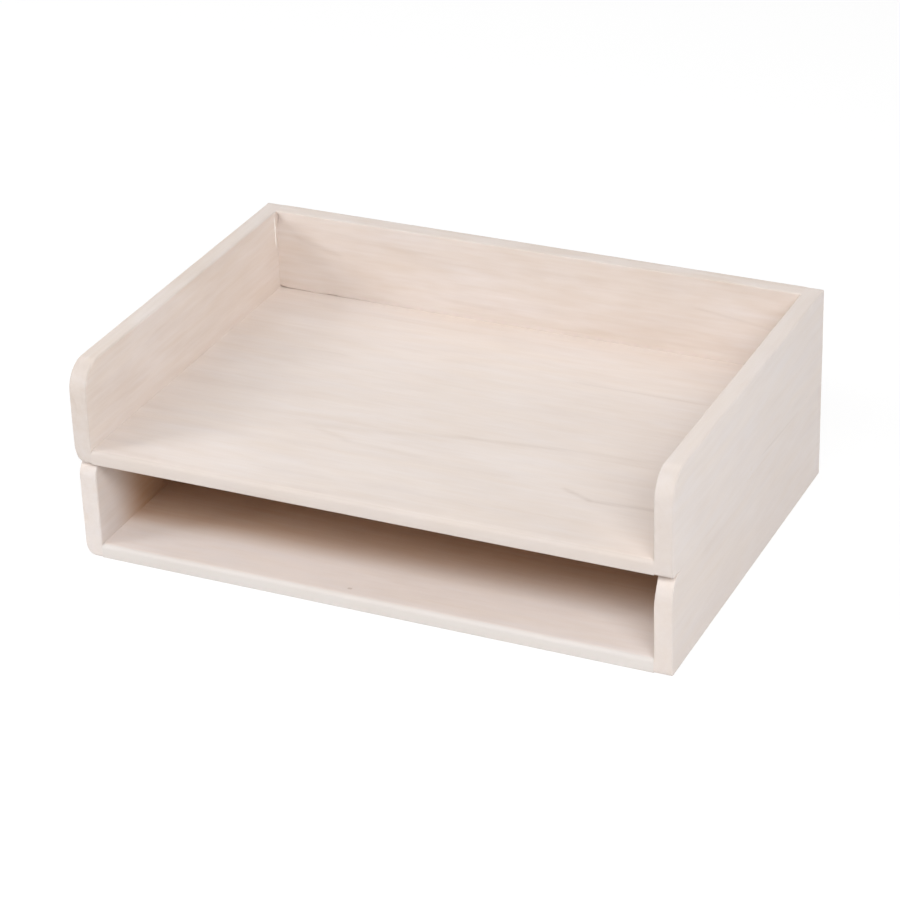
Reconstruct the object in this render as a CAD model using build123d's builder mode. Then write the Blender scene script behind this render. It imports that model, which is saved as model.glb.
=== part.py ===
from build123d import *
import os

# Stack of two wooden document trays for A4 paper lying landscape.
# Each tray is a base board between two sides, with a back standing on its rear edge,
# all butted together, glued and held with brads.
# Four pegs glued into the lower sides keep the upper tray in line, and it lifts off them.
# The origin is the middle of the footprint, on the desk: +X right, +Y to the back, +Z up.

# Paper bay and boards
inside_width = 313.0
inside_depth = 216.0
tray_height = 55.5
side_thickness = 10.0
back_thickness = 10.0
base_thickness = 8.0

# Rounded front corners of the sides and eased edges of all boards
upper_front_radius = 15.0
lower_left_radius = 8.0
lower_right_radius = 12.0
foot_radius = 1.5
base_front_round = 2.5
edge_round = 1.0

# How much narrower the lower tray came out, which shows at the left
lower_trim = 1.5

# Pegs between the trays
peg_diameter = 5.0
peg_seat_depth = 12.0
peg_reach = 8.0
peg_inset = 50.0
peg_chamfer = 0.8
peg_glue_gap = 0.05
peg_clearance = 0.15
peg_end_gap = 1.5

# Brads, their heads set below the surface
brad_diameter = 1.2
brad_length = 25.0
brad_head_diameter = 2.0
brad_head_height = 0.8
brad_set = 0.4
brad_slack = 0.03
base_brad_inset = 25.0
back_brad_inset = 12.0
foot_brad_inset = 45.0

# Places worked out from the sizes above
tray_depth = inside_depth + back_thickness
front = -tray_depth / 2
rear = tray_depth / 2
back_middle = rear - back_thickness / 2
back_height = tray_height - base_thickness
peg_radius = peg_diameter / 2
peg_y = (front + peg_inset, rear - peg_inset)
brad_hole_radius = brad_diameter / 2 + brad_slack
brad_pocket_radius = brad_head_diameter / 2 + brad_slack
brad_pocket_depth = brad_set + brad_head_height
brad_hole_depth = brad_set + brad_length + brad_slack

# Front top radius of each side
LOWER_RADII = {"left": lower_left_radius, "right": lower_right_radius}
UPPER_RADII = {"left": upper_front_radius, "right": upper_front_radius}

# Name, height of the underside, inside width, middle in X and front top radii of each tray
LOWER = ("lower", 0.0, inside_width - lower_trim, lower_trim / 2, LOWER_RADII)
UPPER = ("upper", tray_height, inside_width, 0.0, UPPER_RADII)
HANDS = {"left": -1, "right": 1}


def driven_places(outward, points):
    """Brad places at points of a board's outer face, each looking out of the wood."""
    return [Plane(origin=point, z_dir=outward).location for point in points]


def brad_rows(tray):
    """The five rows of brads of a tray, by the joint that each row holds."""
    _, floor, width, middle, _ = tray
    base_level = floor + base_thickness / 2
    base_y = (front + base_brad_inset, 0, rear - base_brad_inset)
    back_z = (floor + base_thickness + back_brad_inset, floor + tray_height - back_brad_inset)
    foot_x = width / 2 - foot_brad_inset
    rows = {}
    for hand_name, hand in HANDS.items():
        face = middle + hand * (width / 2 + side_thickness)
        outward = (hand, 0, 0)
        base_points = [(face, y, base_level) for y in base_y]
        back_points = [(face, back_middle, z) for z in back_z]
        rows[f"{hand_name}_base"] = driven_places(outward, base_points)
        rows[f"{hand_name}_back"] = driven_places(outward, back_points)
    foot_points = [(x, back_middle, floor) for x in (middle - foot_x, middle, middle + foot_x)]
    rows["back_foot"] = driven_places((0, 0, -1), foot_points)
    return rows


def base_board(tray):
    """Base between the sides, the full depth of the tray, with its front edge rounded over."""
    _, floor, width, middle, _ = tray
    rows = brad_rows(tray)
    with BuildPart() as base:
        with BuildSketch(Plane.XY.offset(floor)):
            with Locations((middle, 0)):
                Rectangle(width, tray_depth)
        extrude(amount=base_thickness)
        front_face = base.faces().sort_by(Axis.Y)[0]
        fillet(front_face.edges().sort_by(Axis.Z)[-1], base_front_round)
        front_face = base.faces().sort_by(Axis.Y)[0]
        fillet(front_face.edges().sort_by(Axis.Z)[0], edge_round)
        with Locations(*rows["left_base"], *rows["right_base"]):
            Hole(radius=brad_hole_radius, depth=brad_hole_depth)
        with Locations(*rows["back_foot"]):
            CounterBoreHole(
                radius=brad_hole_radius,
                counter_bore_radius=brad_pocket_radius,
                counter_bore_depth=brad_pocket_depth,
                depth=brad_hole_depth,
            )
    return base.part


def back_board(tray):
    """Back between the sides, standing on the base, with its top edges eased."""
    _, floor, width, middle, _ = tray
    rows = brad_rows(tray)
    with BuildPart() as back:
        with BuildSketch(Plane.XY.offset(floor + base_thickness)):
            with Locations((middle, back_middle)):
                Rectangle(width, back_thickness)
        extrude(amount=back_height)
        top_face = back.faces().sort_by(Axis.Z)[-1]
        fillet(top_face.edges().filter_by(Axis.X), edge_round)
        with Locations(*rows["left_back"], *rows["right_back"], *rows["back_foot"]):
            Hole(radius=brad_hole_radius, depth=brad_hole_depth)
    return back.part


def peg_x(hand):
    """Where the pegs of one side stand, in the middle of what the upper and lower side share."""
    return hand * (inside_width + side_thickness) / 2 + (1 - hand) * lower_trim / 4


def peg_places(hand, level, upward):
    """Places of the two pegs of one side, at a level, looking up or down."""
    return [Plane(origin=(peg_x(hand), y, level), z_dir=(0, 0, upward)).location for y in peg_y]


def side_board(tray, hand_name):
    """Side the full depth of the tray, a board on edge with its front corners rounded."""
    tray_name, floor, width, middle, front_radii = tray
    hand = HANDS[hand_name]
    rows = brad_rows(tray)
    with BuildPart() as side:
        with BuildSketch(Plane.YZ.offset(middle + hand * width / 2)) as outline:
            with Locations((0, floor + tray_height / 2)):
                Rectangle(tray_depth, tray_height)
            foot_corner = outline.vertices().group_by(Axis.X)[0].sort_by(Axis.Y)[0]
            fillet(foot_corner, foot_radius)
            top_corner = outline.vertices().group_by(Axis.X)[0].sort_by(Axis.Y)[-1]
            fillet(top_corner, front_radii[hand_name])
        extrude(amount=hand * side_thickness)
        fillet(side.faces().filter_by(Axis.X).edges(), edge_round)
        with Locations(*rows[f"{hand_name}_base"], *rows[f"{hand_name}_back"]):
            CounterBoreHole(
                radius=brad_hole_radius,
                counter_bore_radius=brad_pocket_radius,
                counter_bore_depth=brad_pocket_depth,
                depth=brad_hole_depth,
            )
        if tray_name == "lower":
            with Locations(*peg_places(hand, tray_height, 1)):
                Hole(radius=peg_radius + peg_glue_gap, depth=peg_seat_depth)
        else:
            with Locations(*peg_places(hand, tray_height, -1)):
                Hole(radius=peg_radius + peg_clearance, depth=peg_reach + peg_end_gap)
    return side.part


def brad_row(places):
    """One row of brads: a shank under a small flat head, each its own solid."""
    heads = [place * Location((0, 0, -brad_set)) for place in places]
    down = (Align.CENTER, Align.CENTER, Align.MAX)
    with BuildPart() as brads:
        with Locations(*heads):
            Cylinder(brad_diameter / 2, brad_length, align=down)
            Cylinder(brad_head_diameter / 2, brad_head_height, align=down)
    return brads.part


def peg(hand, y):
    """Wooden peg standing in the top of a lower side, chamfered at both ends."""
    with BuildPart() as pin:
        with BuildSketch(Plane.XY.offset(tray_height - peg_seat_depth)):
            with Locations((peg_x(hand), y)):
                Circle(peg_radius)
        extrude(amount=peg_seat_depth + peg_reach)
        chamfer(pin.edges().filter_by(GeomType.CIRCLE), peg_chamfer)
    return pin.part


def write(node, piece):
    """Labels a finished piece and writes it under its own name."""
    piece.label = node
    export_step(piece, f"parts/{node}.step")


os.makedirs("parts", exist_ok=True)

for tray in (LOWER, UPPER):
    name = tray[0]
    write(f"{name}_base", base_board(tray))
    write(f"{name}_back", back_board(tray))
    for hand_name in HANDS:
        write(f"{name}_{hand_name}_side", side_board(tray, hand_name))
    for joint, places in brad_rows(tray).items():
        write(f"{name}_{joint}_brads", brad_row(places))

for hand_name, hand in HANDS.items():
    for end, y in zip(("front", "rear"), peg_y):
        write(f"{hand_name}_{end}_peg", peg(hand, y))
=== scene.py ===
import math

import bmesh
import bpy
from mathutils import Matrix, Vector, noise
from mathutils.geometry import delaunay_2d_cdt


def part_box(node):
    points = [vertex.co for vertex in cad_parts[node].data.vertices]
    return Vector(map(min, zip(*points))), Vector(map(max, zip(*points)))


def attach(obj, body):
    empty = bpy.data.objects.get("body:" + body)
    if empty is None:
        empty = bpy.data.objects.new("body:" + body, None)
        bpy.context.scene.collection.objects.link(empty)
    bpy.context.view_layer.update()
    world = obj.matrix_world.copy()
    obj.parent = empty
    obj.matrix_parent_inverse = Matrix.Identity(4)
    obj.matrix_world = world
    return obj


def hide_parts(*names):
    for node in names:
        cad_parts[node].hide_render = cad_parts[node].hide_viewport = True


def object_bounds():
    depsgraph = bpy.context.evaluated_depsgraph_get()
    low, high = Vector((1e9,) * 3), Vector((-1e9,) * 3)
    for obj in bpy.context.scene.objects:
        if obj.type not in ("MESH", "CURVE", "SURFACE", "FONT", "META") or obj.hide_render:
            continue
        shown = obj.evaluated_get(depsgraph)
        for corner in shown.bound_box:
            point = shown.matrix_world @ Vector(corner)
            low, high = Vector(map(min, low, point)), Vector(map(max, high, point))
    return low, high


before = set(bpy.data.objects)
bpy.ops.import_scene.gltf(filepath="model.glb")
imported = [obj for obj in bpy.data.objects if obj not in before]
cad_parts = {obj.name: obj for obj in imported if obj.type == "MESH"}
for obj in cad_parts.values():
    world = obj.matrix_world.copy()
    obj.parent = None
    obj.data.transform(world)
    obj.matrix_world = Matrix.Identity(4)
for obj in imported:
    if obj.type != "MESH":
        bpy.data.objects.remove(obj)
cad_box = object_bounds()

# Two whitewashed wooden document trays, the upper one lifting off four pegs of the lower one.
# Everything is in metres: +X to the right, +Y to the back, +Z up, with the open front at -Y.

mm = 0.001
quarter_turn = math.pi / 2
trays = ("lower", "upper")
hands = ("left", "right")
into_wood = {"left": 1, "right": -1}

# Rounding of the boards' edges, as sanded by hand
open_edge_ease = 0.95 * mm
seam_edge_ease = 0.15 * mm
rear_edge_ease = 0.6 * mm
butted_edge_ease = 0.05 * mm
butted_overlap = 0.12 * mm
front_top_radius = {
    ("lower", "left"): 8 * mm,
    ("lower", "right"): 12 * mm,
    ("upper", "left"): 15 * mm,
    ("upper", "right"): 15 * mm,
}
front_foot_radius = 1.5 * mm
rear_corner_radius = 1 * mm
base_front_round = 2.5 * mm
base_foot_round = 0.5 * mm
back_top_round = 0.6 * mm
butted_corner_radius = 0.1 * mm
rub_share = 0.22
sanding_depth = 0.05 * mm
sanding_length = 17 * mm
sanding_seed = 11

# How finely the boards are divided
corner_step = 0.7 * mm
run_step = 2 * mm
fewest_corner_steps = 4
fewest_run_steps = 2
corner_room = 0.9
run_room = 0.5
ease_room = 0.75
arris_steps = 4
land = 0.4 * mm
side_spacing = 2.5 * mm
length_spacing = 3 * mm
face_step = 9 * mm
spot_step = 1.5 * mm
spot_reach = 13 * mm
inner_margin = 0.5
merge_distance = 1e-7
sharp_angle = math.radians(35)

# Front corners that are rubbed down: face, end and how far the wear goes along X, Y and Z, in millimetres.
# Points that stand past the corner by less than the margin, as a share of that, wear too.
worn_corners = {
    ("upper", "left"): [("outer", "foot", (7.5, 9, 11))],
    ("upper", "right"): [],
    ("lower", "left"): [
        ("outer", "foot", (7, 9, 9)),
        ("outer", "top", (4, 6, 10)),
        ("inner", "top", (3, 4, 5)),
    ],
    ("lower", "right"): [
        ("inner", "top", (14, 11, 22)),
        ("outer", "top", (4, 4, 4)),
    ],
}
wear_margin = 0.02

# Gaps that the glued joints of the upper back show: under its foot, as start and end from the left
# and height in millimetres, and high up at its left end
foot_gaps = [(-6, 5, 1.4), (1, 21, 0.5), (26, 40, 0.7), (36, 60, 0.25)]
foot_gap_taper = 3.5
end_pit_level = 5 * mm
end_pit_height = 3.5 * mm
end_pit_width = 2.2 * mm
end_pit_depth = 2.5 * mm

# Bead of wash left on the upper left side, near the back
bead_top = 2 * mm
bead_length = 20 * mm
bead_from_back = 2.6 * mm
bead_half_width = 0.8 * mm
bead_height = 0.7 * mm
bead_least = 0.05 * mm
bead_sway = 0.5 * mm
bead_lean = 0.6 * mm
bead_rings = 40
bead_sides = 12

# Pegs and the holes that they stand in
peg_flutes = 14
flute_points = 8
flute_depth = 0.16 * mm
flute_sharpness = 3
peg_chamfer = 0.8 * mm
chamfer_slope = 0.75
peg_land = 0.3 * mm
peg_lengths = 8
peg_glue_gap = 0.05 * mm
peg_clearance = 0.15 * mm
peg_end_gap = 1.5 * mm
hole_mouth = 0.3 * mm
hole_sides = 32
drill_point = 0.5
drill_tip = 0.02

# Brads in a row, their pockets and the filler over them
brads_in_row = {"base": 3, "back": 2, "back_foot": 3}
brad_pocket_radius = 1.03 * mm
brad_pocket_depth = 1.2 * mm
filler_radius = 1.25 * mm
filler_height = 0.05 * mm
filler_depth = 0.3 * mm
filler_sides = 24
filler_unevenness = 0.18
filler_grain = 700
filler_spread = 300


# Shapes

def smooth(value):
    """Eases a value from 0 to 1, held at both ends."""
    held = min(1, max(0, value))
    return held * held * (3 - 2 * held)


def outline_points(corners, eases):
    """Points round a board's outline, anticlockwise: place, way it faces, edge rounding and room for it.

    A corner is (y, z, radius), and each pair of eases belongs to the edge that starts at that corner.
    """
    points = []
    for i, (y, z, radius) in enumerate(corners):
        corner = Vector((y, z))
        along = (corner - Vector(corners[i - 1][:2])).normalized()
        outward = Vector((along.y, -along.x))
        centre = corner - (along + outward) * radius
        steps = max(fewest_corner_steps, round(radius * quarter_turn / corner_step))
        for k in range(steps + 1):
            turn = quarter_turn * k / steps
            facing = outward * math.cos(turn) + along * math.sin(turn)
            ease = [old + (new - old) * k / steps for old, new in zip(eases[i - 1], eases[i])]
            points.append((centre + facing * radius, facing, ease, corner_room * radius))
        next_y, next_z, next_radius = corners[(i + 1) % len(corners)]
        start = points[-1][0]
        end = Vector((next_y, next_z)) + outward * next_radius
        length = (end - start).length
        runs = max(fewest_run_steps, round(length / run_step))
        for k in range(1, runs):
            part = k / runs
            from_corner = length * min(part, 1 - part)
            room = corner_room * min(radius, next_radius) + run_room * from_corner
            points.append((start.lerp(end, part), along, eases[i], room))
    return points


def edge_profile(ease, room):
    """Steps over one rounded edge, from the face to the edge: how far in from the outline, how far down."""
    ease = min(ease, ease_room * room)
    steps = [(min(ease + land, room), 0)]
    for k in range(arris_steps + 1):
        turn = quarter_turn * k / arris_steps
        steps.append((ease * (1 - math.sin(turn)), ease * (1 - math.cos(turn))))
    steps.append((0, ease + land))
    return steps


def board_shape(low, high, corners, eases, spacing, settle=None):
    """A board with one outline all along X. Returns it with the rings round its two open faces.

    settle, where it is given, changes a pair of eases at a place of the outline.
    """
    shape = bmesh.new()
    thickness = high.x - low.x
    between = max(1, round(thickness / spacing))
    columns = []
    for place, facing, pair, room in outline_points(corners, eases):
        rub = 1 + rub_share * noise.noise(Vector((high.x, place.x, place.y)) / sanding_length)
        pair = settle(place, pair) if settle else pair
        near, far = (edge_profile(ease * rub, room) for ease in pair)
        first = near[-1][1]
        last = thickness - far[-1][1]
        steps = near + [(0, first + (last - first) * k / between) for k in range(1, between)]
        steps += [(inset, thickness - depth) for inset, depth in reversed(far)]
        spots = [(low.x + level, place - facing * inset) for inset, level in steps]
        columns.append([shape.verts.new((x, spot.x, spot.y)) for x, spot in spots])
    for i, column in enumerate(columns):
        before = columns[i - 1]
        for k in range(len(column) - 1):
            shape.faces.new((before[k], column[k], column[k + 1], before[k + 1]))
    return shape, [column[0] for column in columns], [column[-1] for column in columns]


def grid_points(low, high, step):
    """Points of an even grid over a flat box."""
    counts = [max(1, round((high[i] - low[i]) / step)) for i in range(2)]
    for j in range(counts[0] + 1):
        for k in range(counts[1] + 1):
            along = low[0] + (high[0] - low[0]) * j / counts[0]
            up = low[1] + (high[1] - low[1]) * k / counts[1]
            yield Vector((along, up))


def fill_face(shape, ring, spots):
    """Fills a face inside its ring with triangles, set close round the spots that get worn."""
    outline = [Vector((vert.co.y, vert.co.z)) for vert in ring]
    low = [min(place[i] for place in outline) for i in range(2)]
    high = [max(place[i] for place in outline) for i in range(2)]
    wanted = [(place, face_step) for place in grid_points(low, high, face_step)]
    wanted = [(p, s) for p, s in wanted if all((p - spot).length > spot_reach for spot in spots)]
    for spot in spots:
        reach = Vector((spot_reach, spot_reach))
        wanted += [(place, spot_step) for place in grid_points(spot - reach, spot + reach, spot_step)]
    inner = []
    for place, step in wanted:
        gaps = []
        for i, start in enumerate(outline):
            run = start - outline[i - 1]
            gaps.append(run.normalized().cross(place - start))
        if min(gaps) > inner_margin * step:
            inner.append(place)
    count = len(outline)
    inside_only = 1
    flat = delaunay_2d_cdt(outline + inner, [], [list(range(count))], inside_only, merge_distance)
    verts = []
    for place, sources in zip(flat[0], flat[3]):
        if sources[0] < count:
            verts.append(ring[sources[0]])
        else:
            verts.append(shape.verts.new((ring[0].co.x, place.x, place.y)))
    for triangle in flat[2]:
        shape.faces.new([verts[k] for k in triangle])


def wear_corner(shape, corner, reach):
    """Rubs a corner down. reach is how far the wear goes along each axis, signed into the wood."""
    slope = Vector([1 / part for part in reach])
    for vert in shape.verts:
        parts = [(vert.co - corner)[i] * slope[i] for i in range(3)]
        worn = max(0, 1 - sum(parts))
        if min(parts) > -wear_margin:
            vert.co += slope * (worn * worn / 2 / slope.length_squared)


def sand(shape):
    """Leaves a shape a little uneven, as sanding by hand does, in the same way each run."""
    noise.seed_set(sanding_seed)
    for vert in shape.verts:
        vert.co += noise.noise_vector(vert.co / sanding_length) * sanding_depth


def new_piece(name, shape, finish, body):
    """Makes a shape into a piece that rides on a body, with a finish."""
    bmesh.ops.recalc_face_normals(shape, faces=shape.faces)
    mesh = bpy.data.meshes.new(name)
    shape.to_mesh(mesh)
    shape.free()
    mesh.polygons.foreach_set("use_smooth", [True] * len(mesh.polygons))
    mesh.materials.append(finish)
    piece = bpy.data.objects.new(name, mesh)
    bpy.context.scene.collection.objects.link(piece)
    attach(piece, body)
    return piece


def ringed_shape(rings, shape=None):
    """A closed shape over rings of points, added to another shape where one is given."""
    shape = shape or bmesh.new()
    made = [[shape.verts.new(spot) for spot in ring] for ring in rings]
    sides = len(made[0])
    for ring, following in zip(made, made[1:]):
        for k in range(sides):
            shape.faces.new((ring[k - 1], ring[k], following[k], following[k - 1]))
    shape.faces.new(list(reversed(made[0])))
    shape.faces.new(made[-1])
    return shape


def round_points(centre, axis, radius, height, sides):
    """A ring of points round an axis, at a height along it."""
    turn = axis.to_track_quat("Z", "Y").to_matrix()
    points = []
    for k in range(sides):
        angle = 2 * math.pi * k / sides
        points.append(centre + turn @ Vector((radius * math.cos(angle), radius * math.sin(angle), height)))
    return points


def bored(piece, holes):
    """Cuts holes, given as one closed shape, out of a piece."""
    bmesh.ops.recalc_face_normals(holes, faces=holes.faces)
    cutter_mesh = bpy.data.meshes.new(piece.name + "_holes")
    holes.to_mesh(cutter_mesh)
    holes.free()
    cutter = bpy.data.objects.new(piece.name + "_holes", cutter_mesh)
    bpy.context.scene.collection.objects.link(cutter)
    cut = piece.modifiers.new("holes", "BOOLEAN")
    cut.operation = "DIFFERENCE"
    cut.solver = "EXACT"
    cut.object = cutter
    bpy.context.view_layer.update()
    whole = piece.evaluated_get(bpy.context.evaluated_depsgraph_get())
    mesh = bpy.data.meshes.new_from_object(whole)
    piece.modifiers.clear()
    piece.data = mesh
    bpy.data.objects.remove(cutter)
    mesh.set_sharp_from_angle(angle=sharp_angle)


def add_hole(holes, centre, axis, radius, depth):
    """Adds a drilled hole with an eased mouth, from a point of the surface into the wood."""
    profile = [
        (radius + 2 * hole_mouth, -hole_mouth),
        (radius, hole_mouth),
        (radius, depth),
        (radius * drill_tip, depth + radius * drill_point),
    ]
    rings = [round_points(centre, axis, reach, height, hole_sides) for reach, height in profile]
    ringed_shape(rings, holes)


# Finishes

class Value:
    """One output socket of a finish. Arithmetic on it adds Math nodes."""

    def __init__(self, finish, socket):
        self.finish = finish
        self.socket = socket

    def beside(self, output):
        return Value(self.finish, self.socket.node.outputs[output])

    def maths(self, operation, *terms):
        return self.finish.node("ShaderNodeMath", {"operation": operation}, dict(enumerate(terms)))

    def __add__(self, other):
        return self.maths("ADD", self, other)

    __radd__ = __add__

    def __sub__(self, other):
        return self.maths("SUBTRACT", self, other)

    def __rsub__(self, other):
        return self.maths("SUBTRACT", other, self)

    def __mul__(self, other):
        return self.maths("MULTIPLY", self, other)

    __rmul__ = __mul__

    def __truediv__(self, other):
        return self.maths("DIVIDE", self, other)

    def __pow__(self, other):
        return self.maths("POWER", self, other)

    def __mod__(self, other):
        return self.maths("FLOORED_MODULO", self, other)

    def __abs__(self):
        return self.maths("ABSOLUTE", self)

    def at_most(self, other):
        return self.maths("MINIMUM", self, other)

    def at_least(self, other):
        return self.maths("MAXIMUM", self, other)

    def rising(self, low, high):
        settings = {"interpolation_type": "SMOOTHSTEP"}
        sockets = {"Value": self, "From Min": low, "From Max": high}
        return self.finish.node("ShaderNodeMapRange", settings, sockets)


class Finish:
    """A tree of shader nodes, built up one node at a time."""

    def __init__(self, owner):
        owner.use_nodes = True
        self.owner = owner
        self.tree = owner.node_tree
        self.tree.nodes.clear()

    def node(self, kind, settings=None, sockets=None):
        made = self.tree.nodes.new(kind)
        for setting, value in (settings or {}).items():
            setattr(made, setting, value)
        for socket, value in (sockets or {}).items():
            if isinstance(value, Value):
                self.tree.links.new(value.socket, made.inputs[socket])
            else:
                made.inputs[socket].default_value = value
        return Value(self, made.outputs[0]) if made.outputs else None

    def mixed(self, amount, first, second):
        sockets = {0: amount, 6: first, 7: second}
        return self.node("ShaderNodeMix", {"data_type": "RGBA"}, sockets).beside(2)

    def noise(self, vector, scale=1.0, detail=2.0, roughness=0.5):
        sockets = {"Vector": vector, "Scale": scale, "Detail": detail, "Roughness": roughness}
        return self.node("ShaderNodeTexNoise", {"noise_dimensions": "3D"}, sockets)

    def spread(self, place, scales):
        return self.node("ShaderNodeVectorMath", {"operation": "MULTIPLY"}, {0: place, 1: scales})

    def done(self, sockets):
        shader = self.node("ShaderNodeBsdfPrincipled", {}, sockets)
        self.node("ShaderNodeOutputMaterial", {}, {"Surface": shader})
        return self.owner


def rgb(red, green, blue):
    """A linear colour with its alpha."""
    return (red, green, blue, 1.0)


warm_wash = rgb(0.876, 0.792, 0.734)
cool_wash = rgb(0.840, 0.784, 0.770)
early_wood = rgb(0.640, 0.490, 0.360)
late_wood = rgb(0.470, 0.315, 0.205)
# Brown of the streaks, and of the painted shade along the foot of the upper back
streak_and_shade_brown = rgb(0.330, 0.215, 0.145)
# Brown of bare wood, which also stands in for the shade deep in the lower bay
bare_and_shaded_wood = rgb(0.640, 0.425, 0.280)
# Tones that darken the front faces: painted shade, and on the sides the duller end grain as well
shade_and_dull_grain_brown = rgb(0.300, 0.250, 0.215)
front_shade_grey = rgb(0.610, 0.610, 0.590)
# How much lighter the faces that look out are: a thicker wash, together with painted light
outer_wash_and_light = 0.12

# The side of a board that its streaks and painted shade lines are on, by the axis of its thickness: bases on
# top, backs in front and the right side outside, and the share of its length over which a line fades at each
# end
streaked_side = {"Z": 1, "Y": -1, "X": 1}
streak_fade = 0.12

# Patterns of wood and wash: how often they change along the grain and across it, per millimetre,
# how much fine detail they have and how rough that is
patterns = {
    "drift": (1 / 150, 1 / 60, 1.0, 0.5),
    "ripple": (1 / 30, 1 / 14, 2.0, 0.5),
    "ring_depth": (1 / 120, 1 / 20, 1.0, 0.5),
    "fibre": (1 / 40, 1.3, 3.0, 0.6),
    "strokes": (1 / 26, 1 / 4.5, 2.0, 0.5),
    "pores": (1 / 7, 2.4, 1.0, 0.5),
    "cloud": (1 / 75, 1 / 28, 2.0, 0.5),
    "brush": (1 / 55, 1 / 1.8, 2.0, 0.5),
    "tint": (1 / 42, 1 / 8, 3.0, 0.5),
}

# How far the rings stray from true circles, in millimetres
drift_reach = 14
ripple_reach = 1.6

# How much each pattern changes the cover of the wash
cloud_share = 0.30
stroke_share = 0.22
brush_share = 0.10
late_share = 0.03
pore_share = 0.08
end_share = 0.05

# How deep fibre, brush marks, late wood and pores stand out, and how dull the wash is
grain_depth = 0.12 * mm
wash_roughness = 0.76


def dark_line_mask(along, across, start, end, half_width, depth):
    """How dark a soft line is at a point, between two points of a board. It draws streaks of the grain, and
    painted shade along the joint at the foot of the upper back.
    """
    part = (along - start[0]) / (end[0] - start[0])
    line = part.at_least(0).at_most(1) * (end[1] - start[1]) + start[1]
    off = abs(across - line) / half_width
    first_end = (part + streak_fade).rising(0, 2 * streak_fade)
    last_end = (1 + streak_fade - part).rising(0, 2 * streak_fade)
    return (1 - off).rising(0, 1) * (first_end * last_end) * depth


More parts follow.
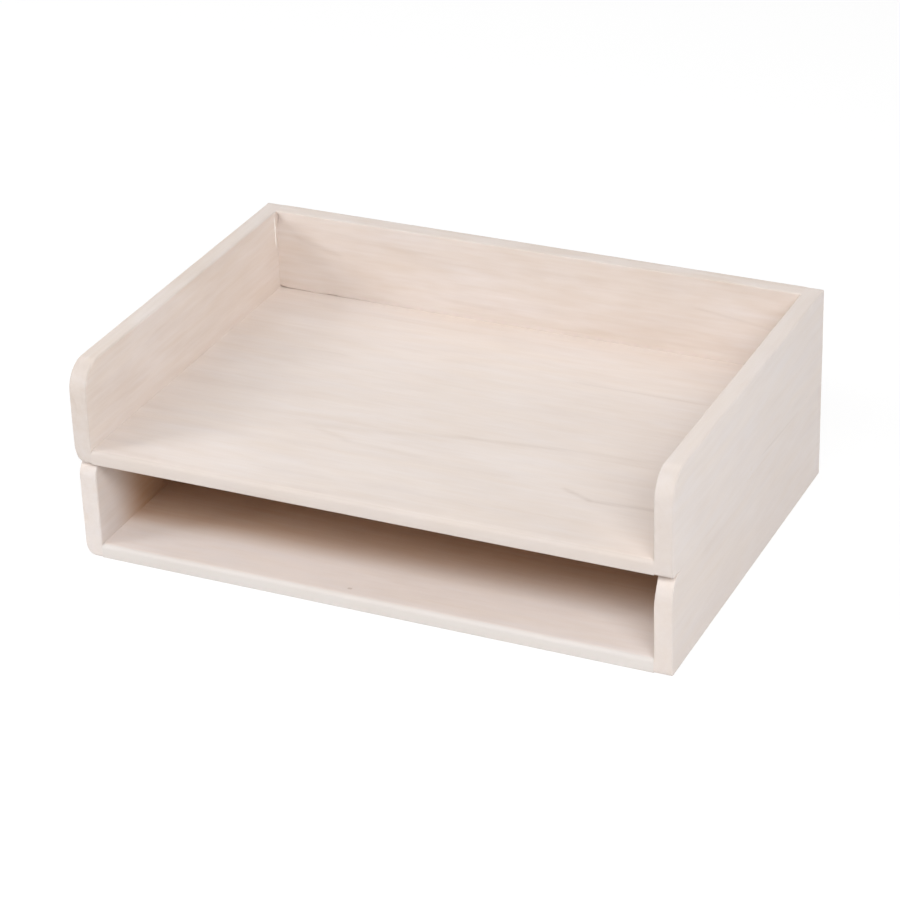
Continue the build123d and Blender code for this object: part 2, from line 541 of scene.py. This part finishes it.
def whitewashed_wood(name, grain, thin, middle, log, streaks_and_shade_lines=(), outer=None, front_shade_and_dull_end=None, thin_coat_and_shade=None):
    """Pale softwood under a thin brushed coat of white.

    grain is the axis that the grain runs along, thin the axis of the board's thickness,
    and log says where the heart of the tree lay: across, below and how much it runs out,
    how wide a ring is, how strong the figure is, how well the wash covers it and where its patterns start.
    outer is the axis and side of the face that looks out, which comes out lighter. This is partly a thicker
    coat of wash, and partly painted light that brightens faces which the lamps light too dimly.
    The argument for front shade and dull ends says how much the faces that look to the front are darkened,
    and in what tone. This is painted shade, because the lamps light those faces brighter than the tops; on
    the sides it also stands for the duller end grain.
    The argument for thin coat and shade names a face in or over the lower bay that is painted browner and
    darker towards the back. This is partly a thin coat of wash where the brush did not reach in, and partly
    painted shade for the shadow and warm bounce deep in the bay.
    It gives the face's axis and side, from where to where in Y it fades, how much farther in that ends
    towards the right and how bare it gets.
    """
    finish = Finish(bpy.data.materials.new(name))
    coordinates = finish.node("ShaderNodeTexCoord")
    place = coordinates.beside("Object")
    to_mm = 1000
    offset = [-to_mm * part for part in middle]
    settings = {"operation": "MULTIPLY_ADD"}
    centred = finish.node("ShaderNodeVectorMath", settings, {0: place, 1: (to_mm, to_mm, to_mm), 2: offset})
    axes = finish.node("ShaderNodeSeparateXYZ", {}, {0: centred})
    facing = finish.node("ShaderNodeSeparateXYZ", {}, {0: coordinates.beside("Normal")})
    wide = ({"X", "Y", "Z"} - {grain, thin}).pop()
    along, across, through = (axes.beside(axis) for axis in (grain, wide, thin))
    heart_across, heart_below, run_out, ring_width, figure, wash_cover, seed = log

    def pattern(name):
        along_scale, across_scale, detail, roughness = patterns[name]
        sockets = {0: along * along_scale + seed, 1: across * across_scale, 2: through * across_scale}
        stretched = finish.node("ShaderNodeCombineXYZ", {}, sockets)
        return finish.noise(stretched, detail=detail, roughness=roughness)

    drift = (pattern("drift") - 0.5) * drift_reach
    ripple = (pattern("ripple") - 0.5) * ripple_reach
    from_heart_across = across - heart_across + drift
    from_heart_below = through + heart_below + along * run_out + drift * 0.4
    from_heart = (from_heart_across * from_heart_across + from_heart_below * from_heart_below) ** 0.5
    phase = ((from_heart + ripple) / ring_width) % 1
    ring_depth = pattern("ring_depth").rising(0.35, 0.8)
    late = phase.rising(0.35, 0.92) * (1 - phase.rising(0.92, 1.0)) * ring_depth

    fibre = pattern("fibre")
    strokes = pattern("strokes")
    pores = pattern("pores").rising(0.66, 0.8)
    cloud = pattern("cloud")
    brush = pattern("brush")
    tint = pattern("tint")
    ends = abs(facing.beside(grain)).rising(0.3, 0.85)

    wood = finish.mixed(late * 0.45 + (fibre - 0.5) * 0.4 + 0.12, early_wood, late_wood)
    uneven = (cloud - 0.5) * cloud_share + (strokes - 0.5) * stroke_share
    uneven = uneven + (brush - 0.5) * brush_share - late * late_share
    cover = uneven * figure + wash_cover - pores * pore_share + ends * end_share
    # Painted light: faces that look out are lighter. This is partly a thicker wash and partly light that the
    # lamps don't give them
    if outer:
        cover = (facing.beside(outer[0]) * outer[1]).rising(0.5, 0.9) * outer_wash_and_light + cover
    wash = finish.mixed(tint, warm_wash, cool_wash)
    colour = finish.mixed(cover.at_most(1), wood, wash)
    # Painted shade: faces that look to the front are darkened, because the lamps light them brighter than
    # the tops. On the sides it also stands for the duller end grain
    if front_shade_and_dull_end:
        front = (facing.beside("Y") * -1).rising(0.1, 0.55)
        colour = finish.mixed(front * front_shade_and_dull_end[0], colour, front_shade_and_dull_end[1])
    # Soft dark lines: streaks of the grain, and on the upper back painted shade along the joint at its foot
    if streaks_and_shade_lines:
        wavy = across + drift * 0.15 + ripple * 0.8
        dark = 0.0
        for start, end, half_width, depth in streaks_and_shade_lines:
            dark = dark_line_mask(along, wavy, start, end, half_width, depth) + dark
        shown = (facing.beside(thin) * streaked_side[thin]).rising(0, 0.3)
        broken = fibre.rising(0.25, 0.75) * 0.7 + 0.5
        colour = finish.mixed(shown * dark * broken, colour, streak_and_shade_brown)
    # Painted shade with a thin wash: faces in the lower bay turn browner and darker towards the back, where
    # the bay lies in shadow
    if thin_coat_and_shade:
        axis, side, start, end, slant, most = thin_coat_and_shade
        looks_in = (facing.beside(axis) * side).rising(0.5, 0.9)
        inward = (axes.beside("Y") + (cloud - 0.5) * 10).rising(start, axes.beside("X") * slant + end)
        bareness_and_shade = looks_in * inward * most
        colour = finish.mixed(bareness_and_shade * (brush * 0.4 + strokes * 0.4 + 0.6), colour, bare_and_shaded_wood)

    height = fibre * 0.35 + brush * 0.35 - late * 0.25 - pores * 0.6
    bump = finish.node("ShaderNodeBump", {}, {"Strength": 0.35, "Distance": grain_depth, "Height": height})
    rough = wash_roughness + (cloud - 0.5) * 0.2 - late * 0.05
    sockets = {"Base Color": colour, "Roughness": rough, "Normal": bump, "Specular IOR Level": 0.12}
    return finish.done(sockets)


def peg_wood_finish():
    """Bare turned hardwood, with fine short flecks along the peg."""
    finish = Finish(bpy.data.materials.new("peg_wood"))
    place = finish.node("ShaderNodeTexCoord").beside("Object")
    fibre = finish.noise(finish.spread(place, (1800, 1800, 90)), detail=3.0)
    flecks = finish.noise(finish.spread(place, (2600, 2600, 420)), detail=1.0).rising(0.62, 0.75)
    colour = finish.mixed(fibre, rgb(0.66, 0.47, 0.29), rgb(0.76, 0.59, 0.40))
    colour = finish.mixed(flecks * 0.4, colour, rgb(0.40, 0.24, 0.13))
    sockets = {"Strength": 0.3, "Distance": 0.0001, "Height": fibre - flecks}
    bump = finish.node("ShaderNodeBump", {}, sockets)
    return finish.done({"Base Color": colour, "Roughness": 0.55 + fibre * 0.15, "Normal": bump})


def brad_steel_finish():
    """Bright drawn wire with faint dull patches."""
    finish = Finish(bpy.data.materials.new("brad_steel"))
    place = finish.node("ShaderNodeTexCoord").beside("Object")
    patches = finish.noise(finish.spread(place, (1500, 1500, 1500)), detail=3.0)
    colour = finish.mixed(patches, rgb(0.42, 0.41, 0.40), rgb(0.62, 0.61, 0.60))
    return finish.done({"Base Color": colour, "Metallic": 1.0, "Roughness": 0.3 + patches * 0.25})


def filler_finish(name, thin_colour, thick_colour):
    """White wood filler or thick wash, with faint patches."""
    finish = Finish(bpy.data.materials.new(name))
    place = finish.node("ShaderNodeTexCoord").beside("Object")
    patches = finish.noise(finish.spread(place, (900, 900, 900)), detail=3.0)
    colour = finish.mixed(patches, thin_colour, thick_colour)
    bump = finish.node("ShaderNodeBump", {}, {"Strength": 0.2, "Distance": 0.0001, "Height": patches})
    return finish.done({"Base Color": colour, "Roughness": 0.6 + patches * 0.15, "Normal": bump})


peg_wood = peg_wood_finish()
brad_steel = brad_steel_finish()
filler = filler_finish("filler", rgb(0.79, 0.71, 0.65), rgb(0.85, 0.78, 0.73))
thick_wash = filler_finish("thick_wash", rgb(0.88, 0.82, 0.77), rgb(0.93, 0.88, 0.83))


# Boards

def middle_of(node):
    low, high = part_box(node)
    return (low + high) / 2


def board_corners(low, high, radii):
    """The corners of a board's outline: front foot, rear foot, rear top, front top."""
    places = [(low.y, low.z), (high.y, low.z), (high.y, high.z), (low.y, high.z)]
    return [(y, z, radius) for (y, z), radius in zip(places, radii)]


def side_board(tray, hand, finish):
    """A side, on edge, with its front corners rounded and rubbed down."""
    node = f"{tray}_{hand}_side"
    low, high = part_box(node)
    radii = (front_foot_radius, rear_corner_radius, rear_corner_radius, front_top_radius[(tray, hand)])
    foot_ease = seam_edge_ease if tray == "upper" else rear_edge_ease
    top_ease = seam_edge_ease if tray == "lower" else open_edge_ease
    eases = [(ease, ease) for ease in (foot_ease, rear_edge_ease, top_ease, open_edge_ease)]
    base_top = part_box(f"{tray}_base")[1].z
    back_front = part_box(f"{tray}_back")[0].y

    def settle(place, pair):
        over_base = smooth((place.y - base_top) / base_front_round + 1)
        before_back = smooth((back_front - place.x) / back_top_round + 1)
        inner_ease = butted_edge_ease + (pair[0] - butted_edge_ease) * over_base * before_back
        return (pair[0], inner_ease) if hand == "left" else (inner_ease, pair[1])

    corners = board_corners(low, high, radii)
    shape, near, far = board_shape(low, high, corners, eases, side_spacing, settle)
    outer, inner = (near, far) if hand == "left" else (far, near)
    level = {"foot": low.z, "top": high.z}
    worn = worn_corners[(tray, hand)]
    for face, ring in (("outer", outer), ("inner", inner)):
        fill_face(shape, ring, [Vector((low.y, level[end])) for side, end, _ in worn if side == face])
    face_x = {"outer": outer[0].co.x, "inner": inner[0].co.x}
    for face, end, reach in worn:
        inward = into_wood[hand] if face == "outer" else -into_wood[hand]
        upward = 1 if end == "foot" else -1
        corner = Vector((face_x[face], low.y, level[end]))
        wear_corner(shape, corner, (inward * reach[0] * mm, reach[1] * mm, upward * reach[2] * mm))
    sand(shape)
    piece = new_piece(f"{node}_board", shape, finish, f"{tray}_tray")
    holes = bmesh.new()
    for end in ("front", "rear"):
        peg = f"{hand}_{end}_peg"
        peg_low, peg_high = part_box(peg)
        mouth = middle_of(peg)
        mouth.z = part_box("upper_base")[0].z
        peg_radius = (peg_high.x - peg_low.x) / 2
        if tray == "lower":
            depth = mouth.z - peg_low.z
            add_hole(holes, mouth, Vector((0, 0, -1)), peg_radius + peg_glue_gap, depth)
        else:
            depth = peg_high.z - mouth.z + peg_end_gap
            add_hole(holes, mouth, Vector((0, 0, 1)), peg_radius + peg_clearance, depth)
    bored(piece, holes)
    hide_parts(node)


def row_places(node, count, axis):
    """The places of the brads of a row, spread evenly along an axis."""
    low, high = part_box(node)
    head = min(high - low) / 2
    start = low[axis] + head
    stop = high[axis] - head
    return [start + (stop - start) * k / (count - 1) for k in range(count)]


def long_board(node, tray, radii, finish, foot_overlap=0, bend=None):
    """A board along X, its ends pressed a little into the sides and its foot down by foot_overlap."""
    low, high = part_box(node)
    low = low - Vector((butted_overlap, 0, foot_overlap))
    high = high + Vector((butted_overlap, 0, 0))
    eases = [(butted_edge_ease, butted_edge_ease)] * 4
    shape, near, far = board_shape(low, high, board_corners(low, high, radii), eases, length_spacing)
    shape.faces.new(near)
    shape.faces.new(far)
    if bend:
        bend(shape, low, high)
    sand(shape)
    piece = new_piece(f"{node}_board", shape, finish, f"{tray}_tray")
    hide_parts(node)
    return piece


def base_board(tray, finish):
    """A base with its front edge rounded over, and the brad pockets of the back in its underside."""
    node = f"{tray}_base"
    radii = (base_foot_round, rear_edge_ease, butted_corner_radius, base_front_round)
    piece = long_board(node, tray, radii, finish)
    row = f"{tray}_back_foot_brads"
    holes = bmesh.new()
    for x in row_places(row, brads_in_row["back_foot"], 0):
        foot = Vector((x, middle_of(row).y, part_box(node)[0].z))
        add_hole(holes, foot, Vector((0, 0, 1)), brad_pocket_radius, brad_pocket_depth)
    bored(piece, holes)


def open_joints(shape, low, high):
    """Opens the gap under the foot of the back, near the left, and a pit high up at its left end."""
    for vert in shape.verts:
        from_left = vert.co.x - low.x
        up = (vert.co.z - low.z) / (high.z - low.z)
        inward = (vert.co.y - low.y) / (high.y - low.y)
        gap = 0
        for start, end, opening in foot_gaps:
            inside = min(from_left / mm - start, end - from_left / mm) / foot_gap_taper
            gap = max(gap, opening * mm * smooth(inside))
        from_pit = abs(high.z - vert.co.z - end_pit_level) / end_pit_height
        pit = smooth(1.3 - from_pit) * max(0, 1 - from_left / end_pit_width) * max(0, 1 - 3 * inward)
        vert.co.z += gap * (1 - up) * (1 - inward)
        vert.co.y += end_pit_depth * pit


def back_board(tray, finish):
    """A back, standing on the base. The upper one shows small gaps at its left end."""
    top_round = back_top_round if tray == "upper" else seam_edge_ease
    radii = (butted_corner_radius, seam_edge_ease, top_round, top_round)
    bend = open_joints if tray == "upper" else None
    long_board(f"{tray}_back", tray, radii, finish, butted_overlap, bend)


# Streaks of the grain on the upper base: two ends, in millimetres from its middle, half width and depth
upper_base_streaks = [
    ((50, 51), (124, 51), 2.0, 0.10),
    ((-30, 51), (-2, 51), 2.0, 0.05),
    ((-106, 36), (-80, 36), 2.5, 0.06),
    ((-68, -44), (-18, -38), 4.5, 0.06),
    ((-20, -38), (24, -28), 4.0, 0.06),
    ((18, -29), (72, -23), 2.8, 0.12),
    ((66, -23), (126, -19), 2.6, 0.06),
    ((-60, -46), (-36, -54), 3.5, 0.06),
    ((-40, -54), (6, -57), 2.8, 0.07),
    ((88, -61), (106, -68), 2.6, 0.16),
    ((104, -68), (150, -65), 2.8, 0.18),
]

# Streaks on the upper back, given in the same way. The lines along its foot, at -24 and the long faint one
# near -22.7, are painted shade in the joint with the base. The rest are streaks of the grain
upper_back_streaks_and_foot_shade = [
    ((-144, 9), (-116, 2), 2.5, 0.10),
    ((-160, -24), (-152.5, -23.5), 1.6, 0.75),
    ((-154, -24), (-135, -24), 1.1, 0.40),
    ((-131, -24), (-116, -24), 1.1, 0.45),
    ((-118, -24), (-96, -24), 1.0, 0.20),
    ((-60, -14), (-20, -15), 1.6, 0.08),
    ((96, 6), (150, -2), 1.6, 0.10),
    ((60, -17), (120, -19), 1.8, 0.04),
    ((16, -22.6), (112, -22.8), 1.5, 0.07),
]

# A faint streak low on the outer face of the upper right side
upper_right_side_streaks = [
    ((18, -24.2), (72, -26.8), 1.3, 0.10),
]

# A fleck on the lower base
lower_base_streaks = [
    ((-14.5, -106), (-12.2, -106), 1.4, 0.42),
]

# Boards of a tray: the axis that the grain runs along and the axis of the thickness
board_axes = {
    "base": ("X", "Z"),
    "back": ("X", "Y"),
    "left_side": ("Y", "X"),
    "right_side": ("Y", "X"),
}

# Grain of each board: where the heart of the log lay across and below it, how it runs out,
# the rings' width, the strength of the figure and how well the wash covers it
logs = {
    "lower_base": (20, 60, 0.05, 12.0, 1.1, 0.95),
    "lower_back": (-4, 25, 0.02, 9.0, 1.2, 0.80),
    "lower_left_side": (6, 30, 0.03, 9.0, 1.4, 0.86),
    "lower_right_side": (-8, 28, -0.03, 9.0, 0.8, 0.80),
    "upper_base": (20, 60, 0.05, 12.0, 1.0, 0.80),
    "upper_back": (-4, 25, 0.02, 9.0, 1.9, 0.77),
    "upper_left_side": (6, 30, 0.03, 9.0, 1.5, 0.75),
    "upper_right_side": (-8, 28, -0.03, 9.0, 0.8, 0.82),
}
board_streaks_and_shade = {
    "lower_base": lower_base_streaks,
    "upper_base": upper_base_streaks,
    "upper_back": upper_back_streaks_and_foot_shade,
    "upper_right_side": upper_right_side_streaks,
}

# Faces that look out, by board, which are made lighter. This is partly a thicker coat of wash and partly
# painted light for faces that the lamps light too dimly
outer_faces_washed_and_lit = {"back": ("Y", 1), "left_side": ("X", -1), "right_side": ("X", 1)}

# Faces in and over the lower bay that are painted browner and darker towards the back. This is partly a thin
# wash and partly painted shade for the shadow and warm bounce deep in the bay.
# The underside of the upper base is darkened so that it throws less light into the bay.
# Columns: axis, side, start and end in Y from the middle, slant and how bare
thin_coat_and_bay_shade = {
    "lower_base": ("Z", 1, -88, -56, 0.10, 0.71),
    "lower_back": ("Y", -1, -60, -20, 0, 0.60),
    "lower_left_side": ("X", 1, -100, -62, 0, 0.92),
    "lower_right_side": ("X", -1, -88, -48, 0, 0.65),
    "upper_base": ("Z", -1, -112, -100, 0, 0.75),
}

# Boards whose faces that look to the front are darkened, with how much and in what tone. This is painted
# shade, because the lamps light the front faces brighter than the tops; on the sides it also stands for the
# duller end grain
front_shade_and_dull_ends = {
    "lower_base": (0.37, front_shade_grey),
    "lower_left_side": (0.11, shade_and_dull_grain_brown),
    "lower_right_side": (0.08, shade_and_dull_grain_brown),
    "upper_base": (0.19, shade_and_dull_grain_brown),
    "upper_back": (0.12, shade_and_dull_grain_brown),
    "upper_left_side": (0.21, shade_and_dull_grain_brown),
    "upper_right_side": (0.21, shade_and_dull_grain_brown),
}

# Each board is cut from its own stretch of the patterns
stretch_step = 37.3
seed = 0.0
for tray in trays:
    for part, (grain, thin) in board_axes.items():
        seed = seed + stretch_step
        node = f"{tray}_{part}"
        finish = whitewashed_wood(
            f"{node}_wood",
            grain,
            thin,
            middle_of(node),
            logs[node] + (seed,),
            board_streaks_and_shade.get(node, ()),
            outer_faces_washed_and_lit.get(part),
            front_shade_and_dull_ends.get(node),
            thin_coat_and_bay_shade.get(node),
        )
        if part == "base":
            base_board(tray, finish)
        elif part == "back":
            back_board(tray, finish)
        else:
            side_board(tray, part.split("_")[0], finish)


# Pegs, brads, filler and wash

def peg_piece(node):
    """A fluted peg with chamfered ends."""
    low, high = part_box(node)
    centre = (low + high) / 2
    radius = (high.x - low.x) / 2
    length = high.z - low.z
    foot_heights = [0, peg_chamfer / 2, peg_chamfer, peg_chamfer + peg_land]
    heights = foot_heights + [length * part / peg_lengths for part in range(1, peg_lengths)]
    heights += [length - height for height in reversed(foot_heights)]
    sides = peg_flutes * flute_points
    rings = []
    for height in heights:
        chamfer = max(0, peg_chamfer - min(height, length - height)) * chamfer_slope
        ring = []
        for k in range(sides):
            angle = 2 * math.pi * k / sides
            flute = flute_depth * (0.5 + 0.5 * math.cos(peg_flutes * angle)) ** flute_sharpness
            reach = radius - chamfer - flute
            x = centre.x + reach * math.cos(angle)
            y = centre.y + reach * math.sin(angle)
            ring.append((x, y, low.z + height))
        rings.append(ring)
    piece = new_piece(f"{node}_dowel", ringed_shape(rings), peg_wood, "lower_tray")
    piece.data.set_sharp_from_angle(angle=sharp_angle)
    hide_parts(node)


def filler_dots(tray, hand):
    """Filler over the brads of a side, sanded almost flush."""
    low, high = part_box(f"{tray}_{hand}_side")
    outward = Vector((-into_wood[hand], 0, 0))
    face_x = low.x if hand == "left" else high.x
    base_row = f"{tray}_{hand}_base_brads"
    back_row = f"{tray}_{hand}_back_brads"
    spots = [(y, middle_of(base_row).z) for y in row_places(base_row, brads_in_row["base"], 1)]
    spots += [(middle_of(back_row).y, z) for z in row_places(back_row, brads_in_row["back"], 2)]
    profile = [(1.0, -filler_depth), (1.0, 0), (0.8, 0.6 * filler_height), (0.5, filler_height)]
    dots = bmesh.new()
    for y, z in spots:
        centre = Vector((face_x, y, z))
        rings = []
        for share, height in profile:
            ring = []
            for spot in round_points(centre, outward, filler_radius * share, height, filler_sides):
                shift = Vector((0, y * filler_spread, z * filler_spread))
                uneven = 1 + filler_unevenness * noise.noise((spot - centre) * filler_grain + shift)
                moved = centre + (spot - centre) * uneven
                moved.x = spot.x
                ring.append(moved)
            rings.append(ring)
        ringed_shape(rings, dots)
    new_piece(f"{tray}_{hand}_filler", dots, filler, f"{tray}_tray")


def wash_bead():
    """A thin run of dried wash down the inside of the upper left side, just in front of the back."""
    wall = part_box("upper_left_side")[1]
    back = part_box("upper_back")[0]
    rings = []
    for j in range(bead_rings + 1):
        part = j / bead_rings
        z = wall.z - bead_top - bead_length * part
        sway = noise.noise(Vector((0, 3, part * 2.2))) * bead_sway
        taper = smooth(min(part, 1 - part) * 7) * (0.8 + 0.5 * noise.noise(Vector((5, 0, part * 6))))
        y = back.y - bead_from_back + sway + bead_lean * part
        angles = [2 * math.pi * k / bead_sides for k in range(bead_sides)]
        width = max(bead_least, bead_half_width * taper)
        height = max(bead_least, bead_height * taper)
        rings.append([(wall.x + height * math.sin(a), y + width * math.cos(a), z) for a in angles])
    new_piece("upper_wash_bead", ringed_shape(rings), thick_wash, "upper_tray")


for hand in hands:
    for end in ("front", "rear"):
        peg_piece(f"{hand}_{end}_peg")
    for tray in trays:
        filler_dots(tray, hand)
wash_bead()

for name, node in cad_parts.items():
    if name.endswith("_brads"):
        node.data.materials.clear()
        node.data.materials.append(brad_steel)


# Floor, light and camera

def seen_rays(finish):
    """Rays that see the background itself: straight, in a gloss or through glass."""
    rays = finish.node("ShaderNodeLightPath")
    straight = rays.beside("Is Camera Ray")
    return straight.at_least(rays.beside("Is Glossy Ray")).at_least(rays.beside("Is Transmission Ray"))


floor_half_size = 6
floor_divisions = 8
floor_gap = 0.1 * mm
floor_white = 0.82
floor_glow = 1.2
glow_share = 0.65


def white_ground():
    """A white floor that is seen a little lighter than it is, so that its shadows stay faint."""
    finish = Finish(bpy.data.materials.new("white_ground"))
    paper = finish.node("ShaderNodeBsdfDiffuse", {}, {"Color": rgb(floor_white, floor_white, floor_white)})
    glow = finish.node("ShaderNodeEmission", {}, {"Color": rgb(1, 1, 1), "Strength": floor_glow})
    seen = seen_rays(finish) * glow_share
    shader = finish.node("ShaderNodeMixShader", {}, {0: seen, 1: paper, 2: glow})
    finish.node("ShaderNodeOutputMaterial", {}, {"Surface": shader})
    return finish.owner


floor_shape = bmesh.new()
bmesh.ops.create_grid(
    floor_shape,
    x_segments=floor_divisions,
    y_segments=floor_divisions,
    size=floor_half_size,
)
floor_mesh = bpy.data.meshes.new("floor")
floor_shape.to_mesh(floor_mesh)
floor_shape.free()
floor_mesh.materials.append(white_ground())
floor = bpy.data.objects.new("floor", floor_mesh)
floor.location = (0, 0, cad_box[0].z - floor_gap)
bpy.context.scene.collection.objects.link(floor)

fill_strength = 0.15
world = bpy.data.worlds.new("white_room")
bpy.context.scene.world = world
room = Finish(world)
strength = seen_rays(room) * (1 - fill_strength) + fill_strength
backdrop = room.node("ShaderNodeBackground", {}, {"Color": rgb(1, 1, 1), "Strength": strength})
room.node("ShaderNodeOutputWorld", {}, {"Surface": backdrop})

# Soft lamps round the trays: the way they stand, from the front towards the right,
# their height in degrees, their width and height in metres and their brightness
lamp_distance = 2.5
lamps = {
    "key": (-55, 29.5, 0.9, 0.9, 8.3),
    "front": (0, 45, 2.0, 1.0, 1.95),
    "right_front": (40, 40, 1.2, 1.0, 7.7),
    "right": (100, 28, 1.6, 1.2, 1.9),
    "rear_left": (-122, 54, 2.0, 1.2, 1.78),
}
for name, (azimuth, elevation, width, height, brightness) in lamps.items():
    turn = math.radians(azimuth)
    rise = math.radians(elevation)
    way = Vector((math.sin(turn) * math.cos(rise), -math.cos(turn) * math.cos(rise), math.sin(rise)))
    lamp = bpy.data.lights.new(name, "AREA")
    lamp.shape = "RECTANGLE"
    lamp.size = width
    lamp.size_y = height
    lamp.energy = brightness * math.pi * width * height
    stand = bpy.data.objects.new(name, lamp)
    stand.location = way * lamp_distance
    stand.rotation_euler = way.to_track_quat("Z", "Y").to_euler()
    bpy.context.scene.collection.objects.link(stand)

camera_place = Vector((0.6249, -1.3273, 0.8155))
camera_azimuth = math.radians(25.33)
camera_elevation = math.radians(27.91)
camera_roll = math.radians(-1.94)
focal_pixels = 3109.9
image_width = 900
sensor_width = 36
camera_back = Vector((
    math.sin(camera_azimuth) * math.cos(camera_elevation),
    -math.cos(camera_azimuth) * math.cos(camera_elevation),
    math.sin(camera_elevation),
))
level_right = Vector((0, 0, 1)).cross(camera_back).normalized()
level_up = camera_back.cross(level_right)
camera_right = level_right * math.cos(camera_roll) + level_up * math.sin(camera_roll)
camera_up = level_up * math.cos(camera_roll) - level_right * math.sin(camera_roll)
camera_data = bpy.data.cameras.new("camera")
camera_data.sensor_fit = "HORIZONTAL"
camera_data.sensor_width = sensor_width
camera_data.lens = focal_pixels / image_width * sensor_width
camera = bpy.data.objects.new("camera", camera_data)
turned = Matrix((camera_right, camera_up, camera_back)).transposed().to_4x4()
camera.matrix_world = Matrix.Translation(camera_place) @ turned
bpy.context.scene.collection.objects.link(camera)
bpy.context.scene.camera = camera
bpy.context.scene.view_settings.view_transform = "Standard"
